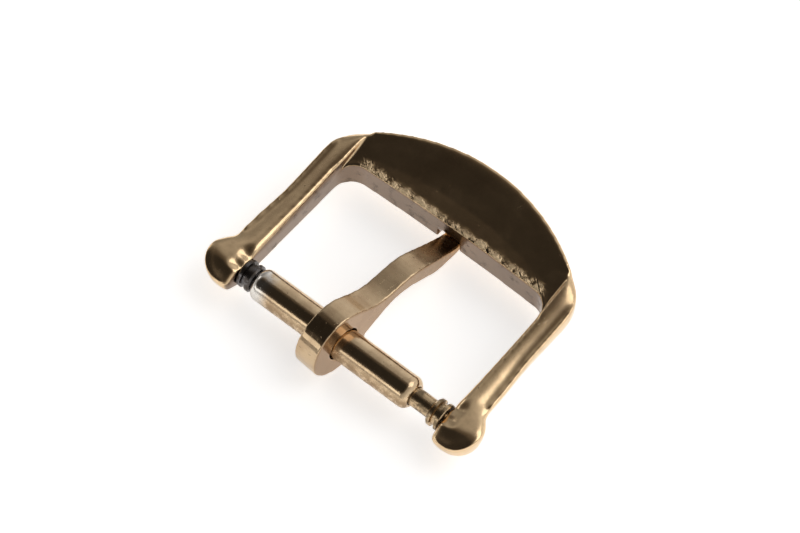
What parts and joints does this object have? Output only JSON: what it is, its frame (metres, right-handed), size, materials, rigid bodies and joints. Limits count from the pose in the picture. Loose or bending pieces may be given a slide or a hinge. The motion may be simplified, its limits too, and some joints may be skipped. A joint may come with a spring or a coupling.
{
  "type": "watch tang buckle",
  "caption": "Watch tang buckle: one-piece frame with a dished crossbar, a turning tongue and a spring bar with sprung plungers.",
  "frame": {"origin": "middle of the spring bar's axis", "axes": "+X along the spring bar, +Y from the bar to the crossbar, +Z out of the back, the side that faces the wrist"},
  "size_m": [0.0186, 0.0149, 0.0042],
  "materials": {
    "frame_plate": "polished, worn gold plate",
    "tongue_plate": "satin, worn gold plate",
    "tube_plate": "dull gold plate",
    "plunger_steel": "tarnished steel",
    "spring_steel": "drawn wire"
  },
  "bodies": {
    "frame": {"frame": "frame_plate"},
    "tongue": {"tongue": "tongue_plate"},
    "bar_tube": {"bar_tube": "tube_plate"},
    "plunger_left": {"plunger_left": "plunger_steel", "bar_spring": "spring_steel"},
    "plunger_right": {"plunger_right": "plunger_steel"}
  },
  "joints": [
    {"name": "tongue_hinge", "type": "hinge", "parent": "frame", "child": "tongue", "pos_m": [0, 0, 0], "axis": [1, 0, 0], "range_deg": [-345, 0]},
    {"name": "plunger_left_slide", "type": "slide", "parent": "frame", "child": "plunger_left", "axis": [1, 0, 0], "range_m": [0, 0.00062], "stiffness_N_per_m": 1000, "springref_m": -0.0006},
    {"name": "tube_spin", "type": "hinge", "parent": "plunger_left", "child": "bar_tube", "pos_m": [0, 0, 0], "axis": [1, 0, 0], "continuous": true},
    {"name": "plunger_right_slide", "type": "slide", "parent": "frame", "child": "plunger_right", "axis": [-1, 0, 0], "range_m": [0, 0.00062], "stiffness_N_per_m": 1000, "springref_m": -0.0006, "deforming": ["bar_spring"]}
  ]
}
